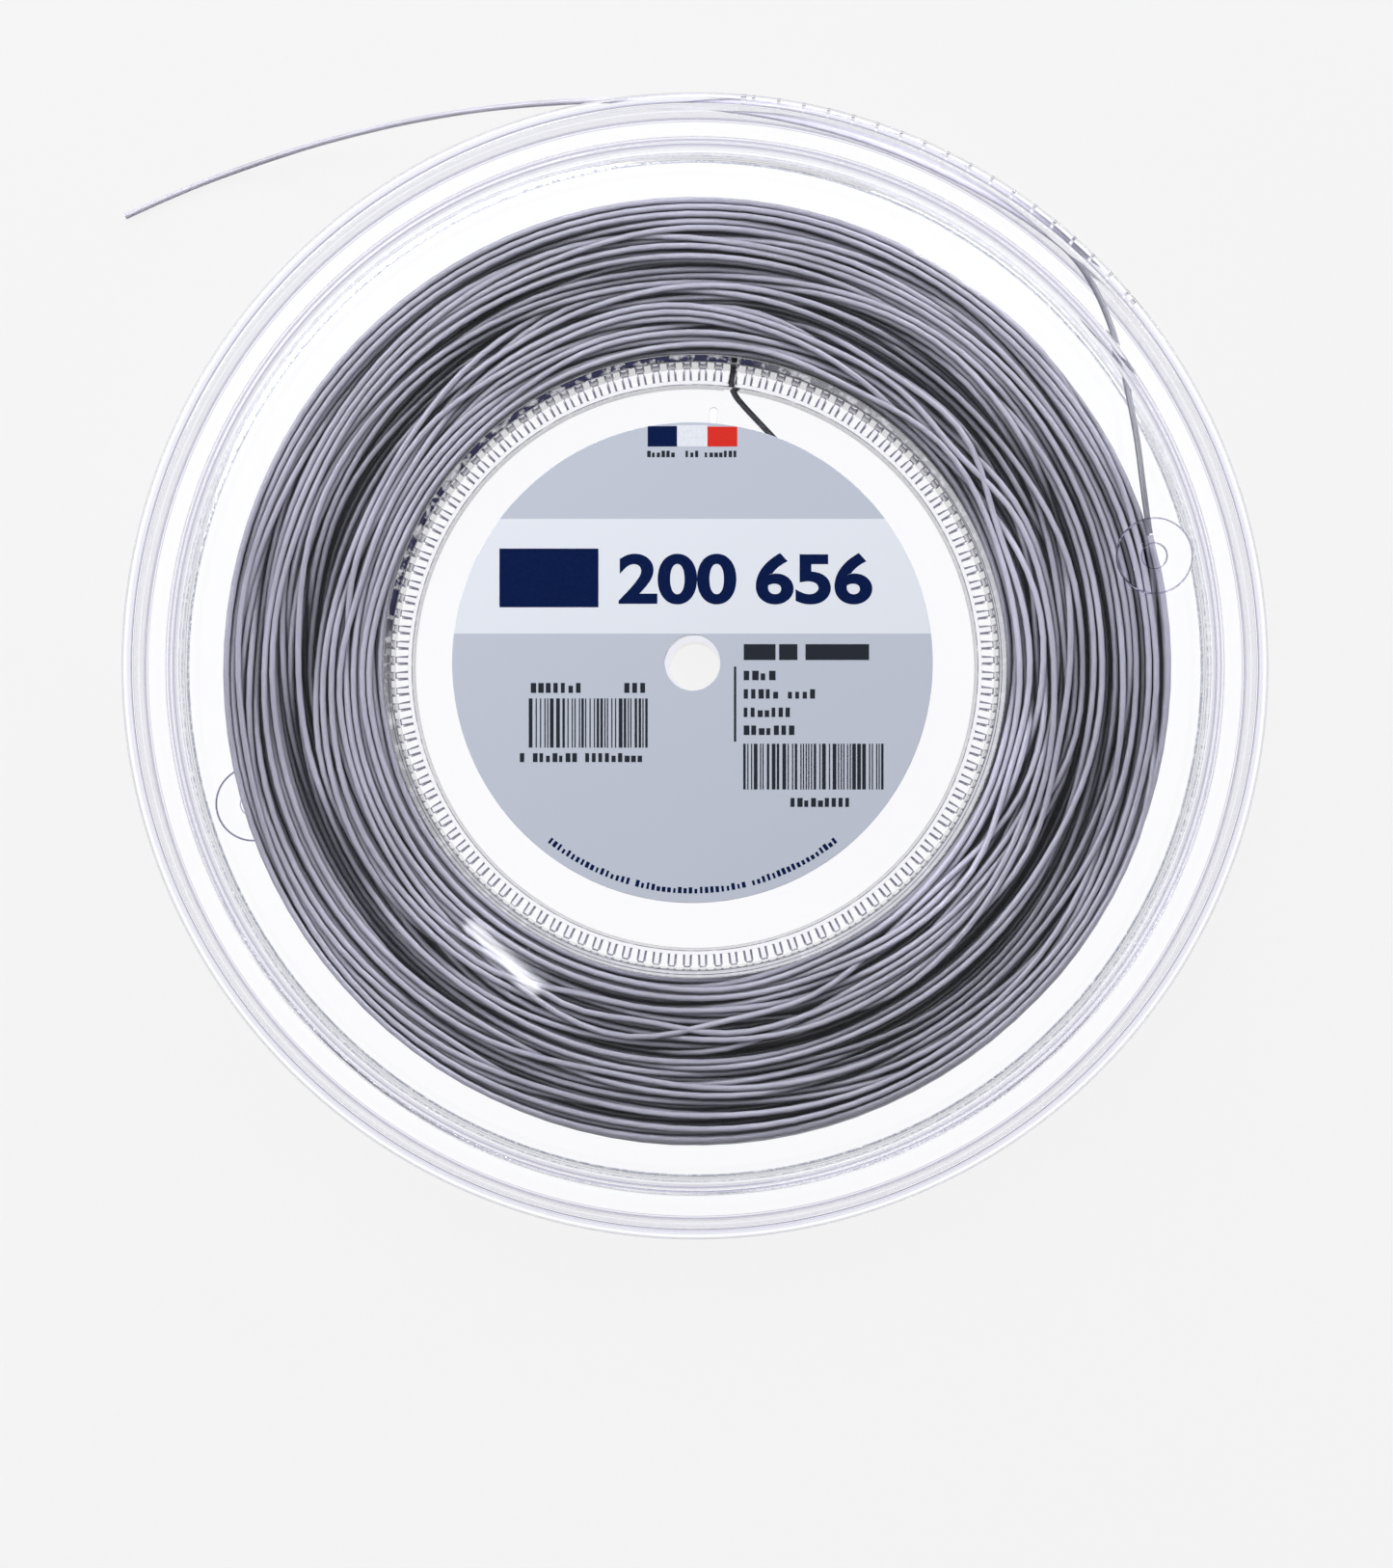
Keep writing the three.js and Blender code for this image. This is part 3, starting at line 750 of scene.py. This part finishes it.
def paper_finish():
    """Grey satin print with a paler band across, a slow change of tone from place to place, painted
    shade that makes it a little darker towards the top, and the mottle of ink on coated paper."""
    finish = Finish(bpy.data.materials.new("label_paper"))
    place = finish.node("ShaderNodeTexCoord", output="Object")
    upward = finish.node("ShaderNodeSeparateXYZ", None, {0: place}, output="Y")
    mottle = finish.noise(place, 900, 3, 0.6)
    cloud = finish.noise(place, 30)
    band = finish.within(upward, 6.52, 29.58)
    # Painted shade: the print is drawn a little darker towards the label's top.
    painted_shade_fall = finish.stretch(upward, -50 * mm, 50 * mm)
    shade = finish.stretch(painted_shade_fall * 0.8 + cloud * 0.25 + mottle * 0.12, 0.2, 1.0)
    grey = finish.mix(shade, (0.515, 0.553, 0.650, 1), (0.492, 0.529, 0.624, 1))
    pale = finish.mix(shade, (0.750, 0.785, 0.862, 1), (0.740, 0.775, 0.852, 1))
    relief = finish.node(
        "ShaderNodeBump", None, {"Strength": 0.1, "Distance": 2e-5, "Height": mottle}
    )
    skin = finish.node(
        "ShaderNodeBsdfPrincipled",
        None,
        {
            "Base Color": finish.mix(band, grey, pale),
            "Roughness": finish.stretch(mottle, 0.3, 0.7, 0.45, 0.55),
            "Normal": relief,
        },
    )
    finish.node("ShaderNodeOutputMaterial", None, {"Surface": skin})
    return finish.block


piece("label_paper", label_mesh(), paper_finish(), "label_paper", "label")


def ink_finish(name, colour):
    """Printing ink of that colour, a little uneven and nearly matt."""
    finish = Finish(bpy.data.materials.new(name))
    place = finish.node("ShaderNodeTexCoord", output="Object")
    mottle = finish.noise(place, 1600, 3, 0.6)
    paler = tuple(0.9 * part + 0.004 for part in colour)
    skin = finish.node(
        "ShaderNodeBsdfPrincipled",
        None,
        {
            "Base Color": finish.mix(finish.stretch(mottle, 0.45, 0.75), (*colour, 1), (*paler, 1)),
            "Roughness": finish.stretch(mottle, 0.3, 0.7, 0.4, 0.5),
            "Specular IOR Level": 0.05,
        },
    )
    finish.node("ShaderNodeOutputMaterial", None, {"Surface": skin})
    return finish.block


def printed(name, boxes, material, tilt=None):
    """Thin slabs of ink on the label, all in one mesh. A box gives its left, right, low and
    high edge; tilt gives the angle by which each is turned about the label's middle."""
    boxes = np.asarray(boxes, float)
    x = boxes[:, [0, 1, 1, 0]]
    y = boxes[:, [2, 2, 3, 3]]
    if tilt is not None:
        c, s = np.cos(tilt)[:, None], np.sin(tilt)[:, None]
        x, y = label_middle[0] + x * c - y * s, label_middle[1] + x * s + y * c
    low = np.stack([x, y, np.full(x.shape, label_top - ink_below)], axis=-1)
    high = np.stack([x, y, np.full(x.shape, label_top + ink_above)], axis=-1)
    points = np.concatenate([low, high], axis=1).reshape(-1, 3) * mm
    sides = np.array(
        [[3, 2, 1, 0], [4, 5, 6, 7], [0, 1, 5, 4], [1, 2, 6, 5], [2, 3, 7, 6], [3, 0, 4, 7]]
    )
    faces = (np.arange(len(boxes))[:, None, None] * 8 + sides).reshape(-1, 4)
    mesh = bpy.data.meshes.new(name)
    mesh.from_pydata(points.tolist(), [], faces.tolist())
    return piece(name, mesh, material, "label_paper")


def stripes(left, right, low, high, bars, seed):
    """A row of upright stripes with no meaning, of four widths, evenly scattered."""
    draw = np.random.default_rng(seed)
    widths = draw.choice([0.24, 0.24, 0.48, 0.72], bars)
    gaps = draw.choice([0.24, 0.3, 0.48, 0.6], bars)
    ends = np.cumsum(widths + gaps)
    scale = (right - left) / (ends[-1] - gaps[-1])
    start = left + (ends - widths - gaps) * scale
    return [(a, a + w * scale, low, high) for a, w in zip(start, widths)]


def blocks(left, right, middle, size, seed, breaks=()):
    """A row of small blocks in place of a line of print, with a gap at each of the breaks. Each
    has its foot on one line, and is the row's size or a little less in height."""
    draw = np.random.default_rng(seed)
    pitch = 0.72 * size
    count = int((right - left) / pitch)
    edges = np.linspace(left, right, count + 1)
    widths = np.diff(edges) * draw.uniform(0.5, 0.78, count)
    half_tall = size * draw.choice([0.5, 0.5, 0.36], count)
    foot = middle - 0.5 * size
    rows = zip(edges[:-1], widths, half_tall)
    kept = [row for index, row in enumerate(rows) if index not in breaks]
    return [(a, a + w, foot, foot + 2 * half) for a, w, half in kept]


black_ink = ink_finish("black_ink", (0.022, 0.026, 0.036))
navy_ink = ink_finish("navy_ink", (0.002, 0.010, 0.062))
red_ink = ink_finish("red_ink", (0.67, 0.03, 0.022))
pale_ink = ink_finish("pale_ink", (0.75, 0.78, 0.85))

dark_marks = [(7.83, 8.3, -15.2, -0.1)]
dark_marks += stripes(-33.4, -9.5, -16.4, -6.5, 30, 3)
dark_marks += stripes(9.7, 37.9, -24.8, -15.6, 36, 8)
dark_marks += [(9.8, 16.2, 1.2, 4.4), (16.9, 20.6, 1.2, 4.4), (22.2, 35, 1.2, 4.4)]
dark_marks += blocks(9.8, 16.6, -1.9, 1.9, 1)
dark_marks += blocks(9.8, 24.6, -5.6, 1.9, 2, breaks=(5,))
dark_marks += blocks(9.8, 19.6, -9.3, 1.9, 3)
dark_marks += blocks(9.8, 20.4, -12.9, 1.9, 4)
dark_marks += blocks(-33, -22.4, -4.4, 2, 5)
dark_marks += blocks(-14.2, -9.4, -4.4, 2, 6)
dark_marks += blocks(-35.2, -10.2, -18.4, 1.8, 7, breaks=(1, 9))
dark_marks += blocks(19.2, 31.6, -27.4, 1.8, 8)
dark_marks += blocks(-9.6, 8.7, 42.6, 1.3, 9, breaks=(6, 7, 11))
printed("label_dark_print", dark_marks, black_ink)
printed("label_navy_print", [(-9.5, -3.6, 44.1, 48.2), (-39.3, -19.4, 11.8, 23.6)], navy_ink)
printed("label_pale_print", [(-3.6, 2.5, 44.1, 48.4)], pale_ink)
printed("label_red_print", [(2.5, 8.5, 44.1, 48.1)], red_ink)

# Three runs of small blocks follow the label's lower edge.
arc_foot = -46.4
arc_runs = [(-38.5, -16.5, 17), (-14, 13, 21), (15.5, 38.5, 18)]
arc = np.radians(np.concatenate([np.linspace(*run) for run in arc_runs]))
draw = np.random.default_rng(12)
half = draw.uniform(0.22, 0.38, len(arc))
tall = draw.uniform(0.9, 1.4, len(arc))
foot = np.full(len(arc), arc_foot)
printed("label_arc_print", np.column_stack([-half, half, foot, foot + tall]), navy_ink, tilt=arc)


def numerals(name, text, left, base, size, material):
    """Upright plain numbers, bold and a little broad, as a thin slab of ink."""
    breadth, boldness = 1.18, 0.03
    curve = bpy.data.curves.new(name, "FONT")
    curve.body = text
    curve.size = size
    curve.offset = boldness * size
    curve.extrude = 0.5 * (ink_below + ink_above)
    thing = bpy.data.objects.new(name, curve)
    bpy.context.scene.collection.objects.link(thing)
    bpy.context.view_layer.update()
    graph = bpy.context.evaluated_depsgraph_get()
    mesh = bpy.data.meshes.new_from_object(thing.evaluated_get(graph))
    bpy.data.objects.remove(thing)
    places = np.empty(len(mesh.vertices) * 3, np.float32)
    mesh.vertices.foreach_get("co", places)
    middle = label_top + 0.5 * (ink_above - ink_below)
    places = places.reshape(-1, 3) * (breadth, 1, 1) + (left, base, middle)
    mesh.vertices.foreach_set("co", (places * mm).astype(np.float32).reshape(-1))
    mesh.update()
    return piece(name, mesh, material, "label_paper")


numerals("label_metres_number", "200", -15.4, 12.9, 13.4, navy_ink)
numerals("label_feet_number", "656", 12, 12.9, 13.4, navy_ink)


# The floor and the light: a pale table under the reel, which shows at the picture's even tone
# and keeps a soft shadow, two large soft lamps at the sides and a dim ceiling.
page = (0.905, 0.905, 0.905, 1)
floor_reach = 2
floor_height = -0.3 * mm


def floor_finish():
    """Pale floor. Seen directly, mirrored or through the clear plastic it has the page's tone
    with a small share of its real shading, and through the plastic it glows a little more, which
    makes up for what the plastic takes. To light that a matt surface scatters, it is a matt pale
    surface, so that the page's tone adds no light to the string."""
    finish = Finish(bpy.data.materials.new("floor"))
    path = "ShaderNodeLightPath"
    through = finish.node(path, output="Is Transmission Ray")
    seen = finish.node(path, output="Is Camera Ray") + finish.node(path, output="Is Glossy Ray")
    matt = finish.node("ShaderNodeBsdfDiffuse", None, {"Color": (0.86, 0.86, 0.87, 1)})
    strength = through * 0.16 + 1.005
    glow = finish.node("ShaderNodeEmission", None, {"Color": page, "Strength": strength})
    even = finish.node("ShaderNodeMixShader", None, {0: 0.96, 1: matt, 2: glow})
    share = (seen + through).maths("MINIMUM", seen + through, 1)
    share = share * (finish.node(path, output="Diffuse Depth") < 0.5)
    result = finish.node("ShaderNodeMixShader", None, {0: share, 1: matt, 2: even})
    finish.node("ShaderNodeOutputMaterial", None, {"Surface": result})
    return finish.block


floor_mesh = bpy.data.meshes.new("floor")
corners = [(-1, -1), (1, -1), (1, 1), (-1, 1)]
floor_mesh.from_pydata(
    [(x * floor_reach, y * floor_reach, floor_height) for x, y in corners], [], [(0, 1, 2, 3)]
)
floor_mesh.materials.append(floor_finish())
floor = bpy.data.objects.new("floor", floor_mesh)
bpy.context.scene.collection.objects.link(floor)


def studio_world():
    """Pale to the eye and through clear plastic. As light, also for the string behind that
    plastic, it is dim straight above, and less so a little towards the upper left, where the
    front disc mirrors it as a faint haze."""
    world = bpy.data.worlds.new("studio")
    bpy.context.scene.world = world
    finish = Finish(world)
    direction = finish.node("ShaderNodeTexCoord", output="Generated")
    upward = finish.node("ShaderNodeSeparateXYZ", None, {0: direction}, output="Z")
    leftward = finish.vector("DOT_PRODUCT", direction, (-0.6, 0.8, 0), 1)
    haze = finish.stretch(leftward, -0.05, 0.2, 0.01, 0.22) * finish.stretch(upward, 0.85, 0.97)
    dim = finish.stretch(upward, 0.2, 0.7, 0.6, 0.02) + haze
    path = "ShaderNodeLightPath"
    through = finish.node(path, output="Is Transmission Ray")
    seen = finish.node(path, output="Is Camera Ray") + through
    seen = seen.maths("MINIMUM", seen, 1) * (finish.node(path, output="Diffuse Depth") < 0.5)
    strength = seen + (1 - seen) * dim
    sky = finish.node("ShaderNodeBackground", None, {"Color": page, "Strength": strength})
    finish.node("ShaderNodeOutputWorld", None, {"Surface": sky})


studio_world()


def lamp(name, degrees, elevation, distance, width, length, power):
    """Oblong area lamp that looks at the reel's middle from that direction and elevation, both
    in degrees, with its length level. Its sizes are in metres and its power is in watts."""
    light = bpy.data.lights.new(name, "AREA")
    light.shape = "RECTANGLE"
    light.size = width
    light.size_y = length
    light.energy = power
    thing = bpy.data.objects.new(name, light)
    turn, lift = math.radians(degrees), math.radians(elevation)
    flat = distance * math.cos(lift)
    thing.location = (flat * math.cos(turn), flat * math.sin(turn), distance * math.sin(lift))
    thing.rotation_euler = (0, math.pi / 2 - lift, turn)
    bpy.context.scene.collection.objects.link(thing)


lamp("upper_left_lamp", 128, 42, 0.9, 0.6, 0.75, 8.5)
lamp("upper_right_lamp", 50, 24, 1.5, 0.1, 1, 14)

# Two small lamps that the front disc mirrors as short bright streaks over the winding.
lamp("glint_lamp_right", 60, 82.15, 2, 0.005, 0.055, 0.02)
lamp("glint_lamp_left", 229, 85.7, 2, 0.007, 0.05, 0.04)
bpy.context.scene.view_settings.view_transform = "Standard"
